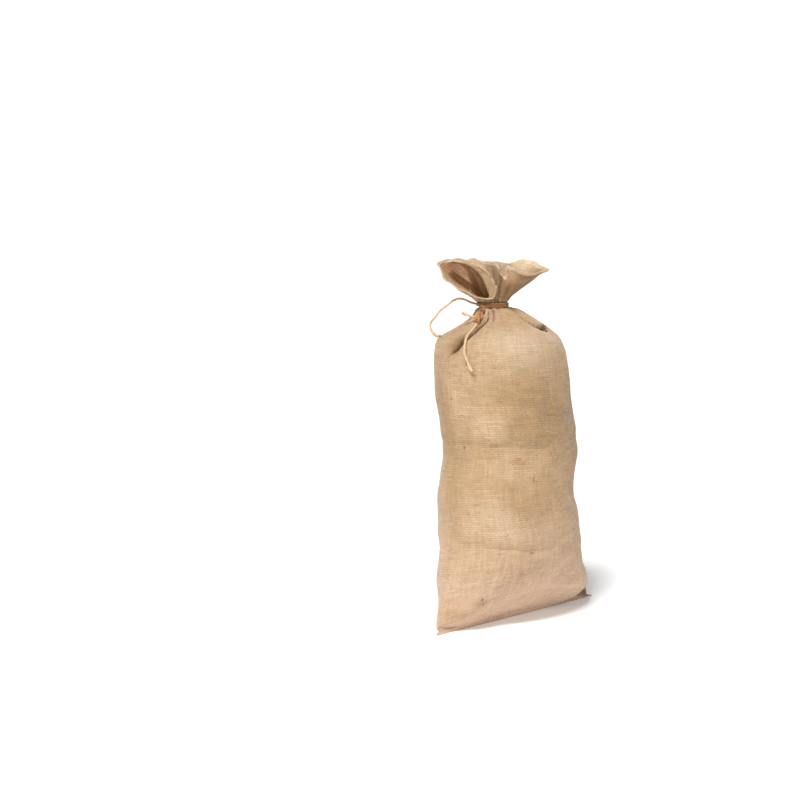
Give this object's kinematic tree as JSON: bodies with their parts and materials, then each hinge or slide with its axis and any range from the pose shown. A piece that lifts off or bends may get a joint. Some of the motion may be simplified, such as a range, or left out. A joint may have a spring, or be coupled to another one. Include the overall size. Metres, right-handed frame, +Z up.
{
  "type": "filled hessian sack tied at the neck",
  "caption": "Upright filled jute sack with a flat bottom seam, a gathered neck tied with twine and a flared open mouth above the tie.",
  "frame": {"origin": "on the surface that the sack stands on, under the middle of its box", "axes": "+X along the bottom seam, the front panel faces -Y, +Z up"},
  "size_m": [0.36, 0.2162, 0.5736],
  "materials": {
    "hessian": "plain woven jute, matt, undyed",
    "twine": "twisted jute, matt, hairy"
  },
  "bodies": {
    "root": {"sack": "hessian", "tie_wrap": "twine", "tie_knot": "twine", "tie_short_end": "twine", "tie_hanging_end": "twine", "tie_long_end": "twine"}
  },
  "joints": []
}
